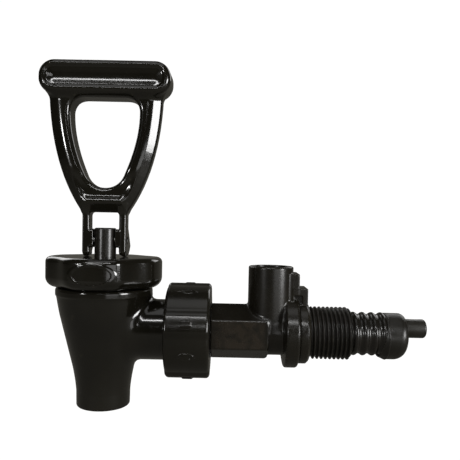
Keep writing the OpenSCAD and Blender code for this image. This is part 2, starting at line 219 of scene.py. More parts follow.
def surface_net(field, low, high, step):
    """Points, quads and normals of the zero surface of a field."""
    axes = [np.arange(a - 2.5 * step, b + 3 * step, step) for a, b in zip(low, high)]
    value = sample(field, axes)
    inside = (value < 0).astype(np.int8)
    nx, ny, nz = (n - 1 for n in inside.shape)
    count = sum(
        inside[i : nx + i, j : ny + j, k : nz + k]
        for i in (0, 1) for j in (0, 1) for k in (0, 1)
    )
    mixed = (count > 0) & (count < 8)
    ids = np.full(mixed.shape, -1)
    ids[mixed] = np.arange(mixed.sum())
    total = np.zeros((int(mixed.sum()), 3))
    hits = np.zeros(len(total))
    quads = []
    for a in range(3):
        order = (a, (a + 1) % 3, (a + 2) % 3)
        v = np.transpose(value, order)
        cell = np.transpose(ids, order)
        i, j, k = np.nonzero((v[:-1] < 0) != (v[1:] < 0))
        first, last = v[i, j, k], v[i + 1, j, k]
        crossing = np.empty((len(i), 3))
        crossing[:, order[0]] = i + first / (first - last)
        crossing[:, order[1]] = j
        crossing[:, order[2]] = k
        around = [cell[i, j - 1, k - 1], cell[i, j, k - 1], cell[i, j, k], cell[i, j - 1, k]]
        for corner in around:
            hits += np.bincount(corner, minlength=len(total))
            for c in range(3):
                total[:, c] += np.bincount(corner, crossing[:, c], len(total))
        quad = np.stack(around, 1)
        quad[first >= 0] = quad[first >= 0][:, ::-1]
        quads.append(quad)
    p = np.array([a[0] for a in axes]) + step * total / hits[:, None]
    for _ in range(4):
        g = gradient(field, p)
        move = (field(*p.T) / np.maximum((g * g).sum(1), 0.3))[:, None] * g
        p = p - np.clip(move, -0.5 * step, 0.5 * step)
    g = gradient(field, p)
    normals = g / np.maximum(np.linalg.norm(g, axis=1), 1e-6)[:, None]
    return p, np.concatenate(quads).tolist(), normals


def sculpted(name, field, box, step, node, body, finish):
    """A piece made from a distance field, with cells of a given step."""
    points, quads, normals = surface_net(field, *box, step)
    return add_piece(name, points, quads, node, body, finish, normals)


def swept_grid(rows, closed):
    """Points and faces of a surface through equal rings of points; a closed one has no ends."""
    count = len(rows[0])
    points = [p for row in rows for p in row]
    faces = []
    for i in range(len(rows) if closed else len(rows) - 1):
        a, b = i * count, (i + 1) % len(rows) * count
        faces += [(a + j, a + (j + 1) % count, b + (j + 1) % count, b + j) for j in range(count)]
    if not closed:
        last = (len(rows) - 1) * count
        faces += [tuple(range(count))[::-1], tuple(last + j for j in range(count))]
    return points, faces


def lathe(name, outline, axis, node, body, finish, centre=(0, 0, 0), segments=144, wave=None):
    """A turned piece from (along, radius) points: a loop, or a line with both ends on the axis.
    wave(along, radius, turn) may add to a radius, for a helix."""
    least_r = 0.01
    rows = []
    closed = outline[0][1] > 0 or outline[-1][1] > 0
    for along, radius in outline:
        ring = []
        for j in range(segments):
            turn = 2 * math.pi * j / segments
            r = max(radius, least_r) + (wave(along, radius, turn) if wave else 0)
            c, s = r * math.cos(turn), r * math.sin(turn)
            at = (along, c, s) if axis == "x" else (c, s, along)
            ring.append(tuple(a + b for a, b in zip(at, centre)))
        rows.append(ring)
    return add_piece(name, *swept_grid(rows, closed), node, body, finish)


# ------------------------------------------------------------------ handle

# The handle is the same on both sides. HALF is half a width, HALF_Y half a depth.
BONNET_LOW, BONNET_HIGH = span("bonnet")
BONNET_FOOT, BONNET_TOP = BONNET_LOW.z, BONNET_HIGH.z
PIN_LOW, PIN_HIGH = span("pivot_pin")
PIVOT_Z = (PIN_LOW.z + PIN_HIGH.z) / 2
PIN_R = (PIN_HIGH.z - PIN_LOW.z) / 2
HANDLE_HIGH = span("handle")[1]
GRIP_HALF = HANDLE_HIGH.x
GRIP_R = 7.0
GRIP_Z = HANDLE_HIGH.z - GRIP_R
GRIP_HALF_Y = 7.4
LOOP_HALF_Y = 5.3
BEVEL_SLOPE = 0.62
BEVEL_WIDTH = 4.4
FORK_OUTER, FORK_INNER = 9.1, 6.3
FORK_HALF_Y = 3.2
FORK_TOP = 49.4
LOBE_WIDTH = 1.4
BOSS_X, BOSS_HALF = 5.6, 0.96
TILT_MAX = math.radians(60)
LIFT = 3.0


def loop_outline():
    """Right half of the loop's outside, closed well inside the loop."""
    side_x, inner_x = 23.4, -14
    side = bend((9.5, FORK_TOP), (22.1, 67.5), (side_x, 97), 14)
    return side + [(side_x, GRIP_Z), (inner_x, GRIP_Z), (inner_x, FORK_TOP)]


def opening_outline():
    """Right half of the finger opening: a rounded point, a bowed side and a rounded corner."""
    point = arc(0, 68.4, 9, -90, -24, 10)
    side = bend((8.24, 64.78), (14.35, 78.7), (14.4, 90.7), 12)
    corner = arc(8.2, 90.7, 6.2, 0, 90, 10)
    return point + side[1:] + corner[1:] + [(-6, 96.9), (-6, 59.4)]


def foot_outline():
    """Side view of a foot about the pivot: an involute cam behind and a flat heel in front."""
    chamfer, root = 1.7, 14.9
    k = LIFT / TILT_MAX
    reach = PIVOT_Z - BONNET_TOP - FREE_PLAY
    cam = []
    for i in range(12, -1, -1):
        a = TILT_MAX * i / 12
        r = reach + k * a
        cam.append((r * math.sin(a) + k * math.cos(a), -r * math.cos(a) + k * math.sin(a)))
    heel = [(chamfer - FORK_HALF_Y, -reach), (-FORK_HALF_Y, chamfer - reach)]
    return cam + heel + [(-FORK_HALF_Y, root), (FORK_HALF_Y, root), (FORK_HALF_Y + 1, 6)]


def pocket(z, outer):
    """Depth of the hollow around the foot of the opening."""
    rim, floor_z, top_z, depth = 2.6, 53.2, 68, 1.3
    edge = meet(outer + rim, floor_z - z, 3.0)
    return depth * smooth(-edge / 3.2) * smooth((top_z - z) / 10)


def grip_dish(ax, z):
    """Depth of the shallow dish in the grip bar's front and back."""
    end_gap, half_height, corner_r = 2.0, 5.1, 4.6
    inside = -slab(ax - GRIP_HALF + end_gap, np.abs(z - GRIP_Z - 0.3) - half_height, corner_r)
    return 0.6 * smooth(inside / 1.6) + 0.8 * smooth(inside / 5.2)


def handle_field(x, y, z):
    ax, ay = np.abs(x), np.abs(y)
    outer = outline_distance(ax, z, loop_outline()) - 0.2
    opening = outline_distance(ax, z, opening_outline())
    half = LOOP_HALF_Y - pocket(z, outer)
    loop = slab(cut(outer, opening, 0.6), ay - half, 1.9)
    bevel = (ay - half + BEVEL_SLOPE * (outer + BEVEL_WIDTH)) / math.hypot(1, BEVEL_SLOPE)
    loop = meet(loop, bevel, 0.8)
    bar = slab(ax - GRIP_HALF, np.abs(z - GRIP_Z) - GRIP_R, GRIP_R - 0.4)
    grip = slab(bar, ay - GRIP_HALF_Y + grip_dish(ax, z), 2.6)
    d = join(loop, grip, 2.5)

    side = outline_distance(y, z - PIVOT_Z, foot_outline())
    width = between(ax, FORK_INNER - 0.15, FORK_OUTER + 0.15)
    plan = slab(width, BONNET_TOP + FREE_PLAY - z, 1.3)
    arm = meet(np.maximum(side, ay - FORK_HALF_Y), plan, 1.1)
    d = join(d, arm, 1.6)
    lobe_x = FORK_OUTER - 0.2
    lobe = meet(side, between(ax, lobe_x - LOBE_WIDTH, lobe_x), 0.5)
    cheek = slab(ay - FORK_HALF_Y + 0.1, np.abs(z - PIVOT_Z - 0.8) - 3.9, 1.2)
    boss = slab(cheek, np.abs(ax - BOSS_X) - BOSS_HALF, 0.25)
    d = join(d, np.minimum(lobe, boss), 0.4)
    return np.maximum(d, PIN_R + FREE_PLAY - np.hypot(y, z - PIVOT_Z))


# ------------------------------------------------------------------ bonnet

BONNET_R = BONNET_HIGH.x
BONNET_MID = (BONNET_FOOT + BONNET_TOP) / 2
SCALLOP_R, SCALLOP_DEPTH = 15.0, 1.7
NECK_BORE_R = 17.1
PLATE_Z = 26.2
STEM_R = 4.5


def bonnet_field(x, y, z):
    r = np.hypot(x, y)
    ax, ay = np.abs(x), np.abs(y)
    along, across = (ax + ay) / math.sqrt(2), (ax - ay) / math.sqrt(2)
    scallop = np.hypot(along - BONNET_R - SCALLOP_R + SCALLOP_DEPTH, across) - SCALLOP_R
    plan = cut(r - BONNET_R, scallop, 3.4)
    d = np.maximum(slab(plan, z - BONNET_TOP, 2.2), slab(plan, BONNET_FOOT - z, 4.4))
    # A plain oval pad with a sunk middle stands on the front.
    pad_w, pad_h, front_y = 9.3, 4.5, -15
    oval = (np.hypot(x / pad_w, (z - BONNET_MID) / pad_h) - 1) * pad_h
    front = np.maximum(d, y)
    pad = cut(slab(oval, front - 0.12, 0.25), slab(oval + 0.8, -(front + 0.1), 0.15), 0.15)
    d = np.where(y < front_y, join(d, pad, 0.3), d)
    d = cut(d, rod(z, r, BONNET_FOOT - 6, PLATE_Z, NECK_BORE_R, 0.3), 0.5)
    return cut(d, r - STEM_R - FREE_PLAY, 0.3)


# ------------------------------------------------------------------ body

BODY_LOW, BODY_HIGH = span("faucet_body")
SPOUT_LOW, NECK_TOP = BODY_LOW.z, BODY_HIGH.z
COLLAR_R = 20.2
ARM_R, ARM_BORE_R = 12.8, 6.5
ARM_ROOT, ARM_PLAIN_END, ARM_END = 9.0, 30.0, BODY_HIGH.x
COUPLING_R, COUPLING_LENGTH = 15.6, 9.5


def body_outline():
    """Half section of the body's outside, as (radius, height)."""
    inner_r, neck_r, rim_z = -8, 16.9, BONNET_FOOT - 0.2
    spout = [(inner_r, SPOUT_LOW)] + arc(10.2, SPOUT_LOW + 1.0, 1.0, -90, 0, 6)
    cone = bend((11.3, -26), (11.7, -21), (13, -15.2), 8) + [(18.3, 6.2)]
    flare = bend((18.3, 6.2), (19.1, 10), (19.6, 13.2), 5)
    collar = arc(COLLAR_R - 0.7, BONNET_FOOT - 3.0, 0.7, -60, 0, 4)
    collar += arc(COLLAR_R - 1.1, rim_z - 1.1, 1.1, 0, 90, 6)
    neck = [(neck_r, rim_z), (neck_r, NECK_TOP - 0.8), (neck_r - 0.8, NECK_TOP)]
    return spout + cone + flare + collar + neck + [(inner_r, NECK_TOP)]


def bore_outline():
    """Half section of the spout's throat and of the chamber above the seat."""
    inner_r, spout_r, throat_r, chamber_r, past = -4, 8.6, 7, 12, 3
    spout = [(inner_r, SPOUT_LOW - past), (spout_r, SPOUT_LOW - past), (spout_r, -20)]
    seat = [(throat_r, -17.5), (throat_r, -13), (chamber_r, -4)]
    return spout + seat + [(chamber_r, NECK_TOP + past), (inner_r, NECK_TOP + past)]


def body_field(x, y, z):
    r = np.hypot(x, y)
    about_arm = np.hypot(y, z)
    cone = outline_distance(r, z, body_outline())
    arm = np.maximum(about_arm - ARM_R, between(x, 0, ARM_PLAIN_END))
    # The arm's start is rounded off, so that it swells out of the cone.
    root_r = 4
    start = slab(about_arm - ARM_R, ARM_ROOT - x, root_r)
    arm = np.maximum(arm, np.minimum(start, ARM_ROOT + root_r + 1 - x))
    d = join(cone, arm, 3.2)
    d = join(d, rod(x, about_arm, ARM_END - COUPLING_LENGTH, ARM_END, COUPLING_R, 0.5), 0.8)
    d = cut(d, outline_distance(r, z, bore_outline()), 0.4)
    return cut(d, np.maximum(about_arm - ARM_BORE_R, -x), 0.4)


# ------------------------------------------------------------------ coupling nut

NUT_LOW, NUT_HIGH = span("coupling_nut")
NUT_MID = (NUT_LOW.x + NUT_HIGH.x) / 2
NUT_R = 20.0
RIB_TURN = math.radians(17)
RIB_HALF, RIB_FLANK, RIB_RISE = 6.3, 3.4, 1.0
LIP_X = span("slip_ring")[1].x + FREE_PLAY
LIP_R = 11.93


def nut_field(x, y, z):
    """Four broad ribs, each with a small tab, and a plain arc and bar raised between them."""
    r = np.hypot(y, z)
    quarter = math.pi / 2
    turn = np.arctan2(z, -y) - RIB_TURN
    across = r * ((turn + quarter / 2) % quarter - quarter / 2)
    plan = r - (NUT_R - RIB_RISE) - RIB_RISE * smooth((RIB_HALF - np.abs(across)) / RIB_FLANK)
    d = slab(plan * 0.9, between(x, NUT_LOW.x, NUT_HIGH.x), 1.5)
    along = x - NUT_MID
    tab_half_x, tab_half, tab_rise = 2.2, 1.5, 0.5
    tab = slab(np.abs(along) - tab_half_x, np.abs(across) - tab_half, 0.9)
    tab = slab(tab, r - NUT_R - tab_rise, 0.5)
    d = join(d, np.maximum(tab, NUT_R - 3 - r), 0.3)

    mark_r, mark_half, mark_rise = 4.2, 0.4, 0.18
    aside = r * (turn % quarter - quarter / 2)
    ring = np.abs(np.hypot(along, aside + 1.6) - mark_r) - mark_half
    ring = np.maximum(ring, 1.0 - aside)
    bar = slab(np.abs(along) - 1.7, np.abs(aside - 0.2) - mark_half, 0.3)
    mark = np.maximum(np.minimum(ring, bar), np.abs(r - NUT_R + RIB_RISE) - mark_rise)
    d = join(d, mark, 0.35)
    bore = np.maximum(r - COUPLING_R - FREE_PLAY, x - LIP_X)
    return cut(cut(d, bore, 0.3), r - LIP_R, 0.3)


# ------------------------------------------------------------------ shank

SHANK_LOW, SHANK_HIGH = span("shank")
WATER_R = 5.0
BARREL_R, HUB_R = 9.6, 9.75
HEX_FLAT = 10.2
HEX_START, HEX_END = 45.6, 69.5
FLANGE_X = 75.6
WASHER_LOW, WASHER_HIGH = span("shank_washer")
WASHER_X, WASHER_END = WASHER_LOW.x, WASHER_HIGH.x
LAND_R = 10.9
RING_LOW, RING_HIGH = span("c_ring")
GROOVE_R = 8.32
PORT_X = MOUNTS["gauge_port"]["pos_m"][0] / MM
PORT_R = 9.5
SOCKET_R = MOUNTS["gauge_port"]["dims"]["r_mm"]
SEAL_LOW, SEAL_HIGH = span("gauge_seal")
SEAT_R = SOCKET_R - 0.95
PASSAGE_R = 3.2
LUG_HALF_Y = 6.0
LUG_X, LUG_STEP_X, LUG_END = 76.5, 82.2, 85.8
LUG_TOP, LUG_STEP_Z = 25.3, 19.3


def flange_outline():
    """Half section of the flange, as (radius, along)."""
    back = [(-6, FLANGE_X), (10.6, FLANGE_X), (13.8, FLANGE_X + 0.6)]
    rim = arc(13.8, FLANGE_X + 1.7, 1.1, -60, 0, 4) + arc(13.6, WASHER_X - 1.3, 1.3, 0, 90, 6)
    return back + rim + [(-6, WASHER_X)]


def lug_field(x, y, z, about):
    """The stepped lug beside the gauge port, with a notch in each side. It stays clear of the
    washer and of what screws on behind it."""
    root_z, overlap, clear_r, side = 2, 3.2, 13.2, LUG_HALF_Y
    tall = block((x, y, z), (LUG_X, -side, root_z), (LUG_STEP_X, side, LUG_TOP), 0.6)
    low = block((x, y, z), (LUG_STEP_X - overlap, -side, root_z), (LUG_END, side, LUG_STEP_Z), 0.6)
    lug = join(tall, low, 0.4)
    notch = block((x, np.abs(y), z), (80, 4.4, 12.6), (83.4, 8, 16.2), 0.3)
    lug = cut(lug, notch, 0.3)
    return np.maximum(lug, -np.maximum(about - clear_r, WASHER_X - 0.1 - x))


def shank_field(x, y, z):
    about = np.hypot(y, z)
    turns = (0, math.pi / 3, -math.pi / 3)
    flats = [np.abs(y * math.cos(a) + z * math.sin(a)) - HEX_FLAT for a in turns]
    plan = meet(meet(flats[0], flats[1], 0.5), flats[2], 0.5)
    hexagon = slab(plan, between(x, HEX_START, HEX_END), 0.4)
    chamfer = (about - HEX_FLAT - 0.6 + (x - HEX_END)) * 0.7
    hexagon = meet(hexagon, chamfer, 0.3)
    d = join(rod(x, about, SHANK_LOW.x, HEX_START + 2, BARREL_R, 0.4), hexagon, 0.4)
    d = join(d, rod(x, about, HEX_END - 3, FLANGE_X + 3, HUB_R, 0.2), 0.5)
    port = np.hypot(x - PORT_X, y)
    tower = slab(port - PORT_R, np.maximum(z - SHANK_HIGH.z, -z), 0.7)
    d = join(d, tower, 1.2)
    d = join(d, outline_distance(about, x, flange_outline()), 0.8)
    d = join(d, rod(x, about, WASHER_X - 2, WASHER_END + FIT, LAND_R, 0.1), 0.2)
    d = join(d, lug_field(x, y, z, about), 0.5)
    d = cut(d, slab(port - SOCKET_R, SEAL_HIGH.z + 0.1 - z, 0.2), 0.5)
    d = cut(d, np.maximum(port - SEAT_R, SEAL_LOW.z - FIT - z), 0.2)
    d = cut(d, np.maximum(port - PASSAGE_R, -z), 0.3)
    groove = np.maximum(GROOVE_R - about, between(x, RING_LOW.x - FIT, RING_HIGH.x + FIT))
    d = cut(d, groove, 0.15)
    return cut(d, about - WATER_R, 0.3)


# ------------------------------------------------------------------ wall thread

THREAD_START, THREAD_END = WASHER_END + 0.05, 104.2
THREAD_MAJOR = MOUNTS["shank_thread"]["dims"]["r_mm"]
THREAD_DEPTH = 1.1
THREAD_PITCH = 1.814
SPIGOT_END, SPIGOT_R = SHANK_HIGH.x, 6.6


def thread_rise(along, radius, turn):
    """Height of the helical ridge over the thread's root, running out at both ends."""
    on_root = radius > THREAD_MAJOR - THREAD_DEPTH - 0.01
    if not (on_root and THREAD_START < along < THREAD_END - 0.05):
        return 0
    crest, foot, run_in, end_slope = 0.18, 0.84, 1.2, 1.15
    phase = ((along - THREAD_START) / THREAD_PITCH - turn / (2 * math.pi)) % 1
    from_crest = abs(phase - 0.5) * 2
    ridge = min(max((foot - from_crest) / (foot - crest), 0), 1)
    start = min(max((along - THREAD_START - 0.2) / run_in, 0), 1)
    room = (THREAD_END - along) * end_slope + 0.1
    return min(THREAD_DEPTH * ridge * start, room)


def thread_outline():
    """The thread's root in fine steps, the spigot after it and the water bore."""
    root, length = THREAD_MAJOR - THREAD_DEPTH, THREAD_END - THREAD_START
    steps = int(length / (THREAD_PITCH / 18))
    body = [(THREAD_START + length * i / steps, root) for i in range(steps + 1)]
    spigot = [(THREAD_END, SPIGOT_R), (SPIGOT_END, SPIGOT_R), (SPIGOT_END, WATER_R)]
    return body + [(THREAD_END, root - 0.4)] + spigot + [(THREAD_START, WATER_R)]


def washer_outline():
    """The rubber washer against the flange, with rounded rims."""
    bore, rim, edge = THREAD_MAJOR + 0.1, WASHER_HIGH.z, 0.7
    front = [(WASHER_X, bore), (WASHER_X, rim - edge)]
    front += arc(WASHER_X + edge, rim - edge, edge, 180, 90, 5)
    back = arc(WASHER_END - 1.2, rim - 0.5, 0.5, 90, 40, 4)
    return front + back + [(WASHER_END, rim - 1.0), (WASHER_END, bore)]


# ------------------------------------------------------------------ inlet tail

TAIL_LOW, TAIL_HIGH = span("ribbed_tail")
TAIL_R = TAIL_HIGH.z
CAP_LOW, CAP_HIGH = span("tail_cap")
CAP_R = (CAP_HIGH.z - CAP_LOW.z) / 2
CAP_Z = (CAP_HIGH.z + CAP_LOW.z) / 2
TUBE_LOW, TUBE_HIGH = span("inlet_tube")
TUBE_Z = (TUBE_LOW.z + TUBE_HIGH.z) / 2
TUBE_R = MOUNTS["inlet_tube_end"]["dims"]["r_mm"]
TUBE_NECK_R, TUBE_BORE_R = 3.55, 2.3


def sleeve_outline():
    """Closed outline of the ribbed sleeve, its ribs following a cosine."""
    pitch, first, dip, inner, count = 3.9, 106.0, 0.85, 6.62, 72
    ribs = []
    for i in range(count + 1):
        along = TAIL_LOW.x + (TAIL_HIGH.x - TAIL_LOW.x) * i / count
        wave = math.cos(2 * math.pi * (along - first) / pitch)
        ribs.append((along, TAIL_R - dip / 2 + dip / 2 * math.copysign(abs(wave) ** 0.8, wave)))
    return ribs + [(TAIL_HIGH.x, inner), (TAIL_LOW.x, inner)]


def cap_field(x, y, z):
    """The end cap: a head rounded more below than above, a flared skirt, a plug and two bores."""
    about, on_axis = np.hypot(y, z - CAP_Z), np.hypot(y, z)
    front, back = TAIL_HIGH.x + FIT, CAP_HIGH.x
    head = rod(x, about, front, back, CAP_R, 0.5)
    dome_r = 4.1 - 1.1 * np.clip((z - CAP_Z) / CAP_R, -1, 1)
    head = np.maximum(head, slab(about - CAP_R, x - back, dome_r))
    skirt_r = CAP_R - 0.1 - (front - x) * 0.42
    skirt = np.maximum((about - skirt_r) * 0.9, TAIL_R + 2 * FIT - on_axis)
    skirt = np.maximum(skirt, between(x, front - 2.0, front + 0.8))
    d = join(head, skirt, 0.3)
    d = join(d, rod(x, on_axis, CAP_LOW.x, front + 1, 6.55, 0.3), 0.2)
    bore = np.maximum(on_axis - WATER_R, x - TUBE_LOW.x + 1)
    hole = np.maximum(np.hypot(y, z - TUBE_Z) - TUBE_NECK_R - FIT, TUBE_LOW.x - 1.5 - x)
    return cut(cut(d, bore, 0.2), hole, 0.2)


def tube_outline():
    """The inlet tube: a neck with a groove for its ring, and a thicker tip with a round edge."""
    shoulder_x, groove_x, groove_end = CAP_HIGH.x + 0.05, TUBE_LOW.x + 2, TUBE_LOW.x + 3.1
    groove_r, edge = TUBE_NECK_R - 0.9, 1.1
    neck = [(TUBE_LOW.x, TUBE_BORE_R), (TUBE_LOW.x, TUBE_NECK_R), (groove_x, TUBE_NECK_R)]
    groove = [(groove_x, groove_r), (groove_end, groove_r), (groove_end, TUBE_NECK_R)]
    shoulder = [(shoulder_x, TUBE_NECK_R), (shoulder_x, TUBE_R)]
    tip = arc(TUBE_HIGH.x - edge, TUBE_R - edge, edge, 90, 0, 6)
    return neck + groove + shoulder + tip + [(TUBE_HIGH.x - 0.3, TUBE_BORE_R)]


# ------------------------------------------------------------------ stem, pin, spring and cup

STEM_TOP = span("valve_stem")[1].z
BALL_R, BALL_Z, BALL_NECK_R = 3.8, -8.0, 2.6
SPRING_LOW, SPRING_HIGH = span("closing_spring")
SPRING_TALL = SPRING_HIGH.z - SPRING_LOW.z
CUP_LOW, CUP_HIGH = span("seat_cup")


def ball_arc(r):
    """Points of the stem's ball from its neck to its lowest point, drawn with radius r."""
    start = math.degrees(math.asin(BALL_NECK_R / BALL_R))
    return arc(BALL_Z, 0, r, start, 180, 18)


def stem_outline():
    """The stem from its top down: rod, spring flange, neck and ball."""
    edge, foot, flange_r, flange_t, chamfer = 0.7, 0.3, 7.6, 2.5, 0.4
    head = [(STEM_TOP, 0), (STEM_TOP, STEM_R - 2 * edge)]
    head += arc(STEM_TOP - edge, STEM_R - edge, edge, 0, 90, 6)
    flange = [(foot, STEM_R), (0, STEM_R + foot), (0, flange_r - chamfer), (-chamfer, flange_r)]
    flange += [(chamfer - flange_t, flange_r), (-flange_t, flange_r - chamfer)]
    return head + flange + [(-flange_t, BALL_NECK_R)] + ball_arc(BALL_R)


def pin_outline():
    edge = 0.4
    start = [(PIN_LOW.x, 0)] + arc(PIN_LOW.x + edge, PIN_R - edge, edge, 180, 90, 5)
    return start + arc(PIN_HIGH.x - edge, PIN_R - edge, edge, 90, 0, 5) + [(PIN_HIGH.x, 0)]


def spring_rings():
    """Rings of points along the spring's wire. The first and the last turn lie flat."""
    wire, turns, steps, sides = 0.6, 7, 48, 12
    mean = SPRING_HIGH.x - wire
    rings = []
    for i in range(turns * steps + 1):
        t = i / steps
        if t < 1:
            rise = wire * t * t
        elif t > turns - 1:
            rise = SPRING_TALL - 2 * wire - wire * (turns - t) ** 2
        else:
            rise = wire + (SPRING_TALL - 4 * wire) * (t - 1) / (turns - 2)
        turn, middle = 2 * math.pi * t, SPRING_LOW.z + wire + rise
        ring = []
        for j in range(sides):
            b = -2 * math.pi * j / sides
            r = mean + wire * math.cos(b)
            ring.append((r * math.cos(turn), r * math.sin(turn), middle + wire * math.sin(b)))
        rings.append(ring)
    return rings


def cup_outline():
    """The silicone cup: a blunt nose that seals the seat, a thin wall and a flange on top."""
    top, in_r, out_r = CUP_HIGH.z, 8.5, 9.8
    flange_r, flange_z, edge = CUP_HIGH.x, CUP_HIGH.z - 1.08, 0.3
    nose = [(0, 0), (0, 3.6), (0.5, 4.8), (1.0, 6.2), (1.9, 6.9)]
    cup = [(CUP_LOW.z + rise, r) for rise, r in nose]
    cup += [(-5.5, 11.0), (-4.6, 10.9), (-3.6, 10.3), (-1.5, out_r)]
    cup += [(flange_z - 0.4, out_r), (flange_z, out_r + 0.4), (flange_z, flange_r - edge)]
    cup += [(flange_z + edge, flange_r), (top - edge, flange_r), (top, flange_r - edge)]
    cup += [(top, in_r + edge), (top - edge, in_r)]
    cup += [(-2.0, in_r), (-2.6, in_r - 0.6), (-2.6, BALL_NECK_R + 0.06)]
    # The ball's pocket is taller than the ball, so that it clears it when the cup is squashed.
    taller, play = 1.14, 0.1
    return cup + [(BALL_Z + (along - BALL_Z) * taller, r) for along, r in ball_arc(BALL_R + play)]


def squash_with_stem(piece):
    """Gives a piece a mesh of its own; nothing here shortens it as the stem lifts."""
    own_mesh(piece)


# ------------------------------------------------------------------ materials

# Sockets of a mix node that hold colours.
COLOUR_A, COLOUR_B, COLOUR_OUT = 6, 7, 2


class Nodes:
    """Short calls for building a material's node tree."""

    def __init__(self, name):
        self.material = bpy.data.materials.new(name)
        self.material.use_nodes = True
        self.tree = self.material.node_tree
        self.shader = self.tree.nodes["Principled BSDF"]
        self.place = self.tree.nodes.new("ShaderNodeTexCoord").outputs["Object"]

    def add(self, kind, **inputs):
        node = self.tree.nodes.new(kind)
        for key, value in inputs.items():
            self.put(value, node.inputs[key.replace("_", " ")])
        return node

    def put(self, value, socket):
        if isinstance(value, bpy.types.NodeSocket):
            self.tree.links.new(value, socket)
        else:
            socket.default_value = value

    def noise(self, scale, detail=3.0, place=None):
        place = place or self.place
        node = self.add("ShaderNodeTexNoise", Scale=scale, Detail=detail, Vector=place)
        return node.outputs["Fac"]

    def stretched(self, x, y, z):
        node = self.add("ShaderNodeMapping", Vector=self.place, Scale=(x, y, z))
        return node.outputs["Vector"]

    def spread(self, value, low, high, to_low, to_high):
        """Maps low..high to to_low..to_high, clamped."""
        node = self.tree.nodes.new("ShaderNodeMapRange")
        for socket, v in zip(node.inputs, (value, low, high, to_low, to_high)):
            self.put(v, socket)
        return node.outputs[0]

    def blend(self, amount, first, second):
        node = self.tree.nodes.new("ShaderNodeMix")
        node.data_type = "RGBA"
        self.put(amount, node.inputs[0])
        self.put(first, node.inputs[COLOUR_A])
        self.put(second, node.inputs[COLOUR_B])
        return node.outputs[COLOUR_OUT]

    def calculate(self, operation, *values):
        node = self.tree.nodes.new("ShaderNodeMath")
        node.operation = operation
        for socket, v in zip(node.inputs, values):
            self.put(v, socket)
        return node.outputs[0]

    def edges(self, start, end):
        """1 on sharp outward edges, where a part is rubbed."""
        point = self.tree.nodes.new("ShaderNodeNewGeometry").outputs["Pointiness"]
        return self.spread(point, start, end, 0.0, 1.0)

    def bumps(self, *layers):
        """Chains (height, depth in metres) pairs into the shader's normal."""
        normal = None
        for height, depth in layers:
            node = self.add("ShaderNodeBump", Height=height, Distance=depth)
            if normal:
                self.put(normal, node.inputs["Normal"])
            normal = node.outputs["Normal"]
        self.put(normal, self.shader.inputs["Normal"])

    def set(self, **inputs):
        for key, value in inputs.items():
            self.put(value, self.shader.inputs[key.replace("_", " ")])


def sheen_painted_flat(m):
    """1 on the hexagon's front flat, where a dull brownish sheen is painted into the colour, for
    the light that this flat, which faces the camera, catches.
    Its limits are soft, and noise breaks it up."""
    split = m.add("ShaderNodeSeparateXYZ", Vector=m.place)
    x, y, z = split.outputs[0], split.outputs[1], split.outputs[2]
    out, full = 6.2, 5.2
    limits = [
        (y, 0.3 - HEX_FLAT, 0.1 - HEX_FLAT),
        (x, HEX_START, HEX_START + 3), (x, HEX_END - 1, HEX_END - 3),
        (z, AXIS_Z - out, AXIS_Z - full), (z, AXIS_Z + out, AXIS_Z + full),
    ]
    mask = m.spread(m.noise(300, 4), 0.30, 0.55, 0.0, 1.0)
    for value, start, end in limits:
        inside = m.spread(value, start * MM, end * MM, 0.0, 1.0)
        mask = m.calculate("MULTIPLY", mask, inside)
    return mask


# Colour of the painted sheen on the hexagon's front flat: painted light, not the plastic's own
# colour.
SHEEN_BROWN = (0.019, 0.0146, 0.0098, 1)


def moulded(name, base, rough, peel, grain, coat=0.0, painted_sheen=None, slot=None):
    """Black moulded plastic: a cloudy tone, uneven gloss, orange peel, fine grain, rubbed edges,
    and where asked a painted sheen.
    Gives the material and its slot, which has the material's name unless told otherwise."""
    m = Nodes(name)
    dark, light, rubbed = (tuple(c * share for c in base) + (1,) for share in (0.75, 1.35, 2.6))
    tone = m.blend(m.spread(m.noise(38, 4), 0.35, 0.65, 0.0, 1.0), dark, light)
    if painted_sheen:
        # Where asked, a painted sheen is laid over the tone: a brownish tint that stands for light
        # falling on a flat.
        tone = m.blend(painted_sheen(m), tone, SHEEN_BROWN)
    m.set(Base_Color=m.blend(m.edges(0.515, 0.60), tone, rubbed))
    flow = m.noise(120, 3, m.stretched(1, 1, 0.35))
    uneven = m.spread(flow, 0.3, 0.7, rough * 0.82, rough * 1.2)
    scuff = m.spread(m.noise(900, 2), 0.4, 0.7, 0.0, 1.0)
    worn = m.calculate("MULTIPLY_ADD", scuff, rough * 0.12, uneven)
    m.set(Roughness=worn, IOR=1.5, Coat_Weight=coat, Coat_Roughness=rough * 0.6)
    m.bumps((m.noise(420, 2), peel), (m.noise(4200, 3), grain))
    return m.material, slot or name


def steel(name, axis):
    """Drawn stainless steel, its lines running along one axis."""
    m = Nodes(name)
    stretch = [2600, 2600, 2600]
    stretch["xyz".index(axis)] = 60
    lines = m.noise(1.0, 4, m.stretched(*stretch))
    m.set(
        Base_Color=m.blend(lines, (0.42, 0.42, 0.41, 1), (0.66, 0.66, 0.65, 1)),
        Metallic=1.0,
        Roughness=m.spread(lines, 0.3, 0.7, 0.2, 0.36),
    )
    m.bumps((lines, 4 * UM))
    return m.material, "pin_steel"


def soft(name, low, high, rough, grain, glow=0.0, slot=None):
    """Rubber, silicone or natural acetal: a mottled tone with a fine tooth."""
    m = Nodes(name)
    cloud = m.noise(90, 4)
    m.set(
        Base_Color=m.blend(m.spread(cloud, 0.3, 0.7, 0.0, 1.0), low + (1,), high + (1,)),
        Roughness=m.spread(m.noise(700, 3), 0.3, 0.7, rough * 0.85, rough * 1.15),
        Subsurface_Weight=glow,
        Subsurface_Scale=0.002,
    )
    m.bumps((m.noise(2600, 3), grain), (cloud, grain * 2))
    return m.material, slot or name


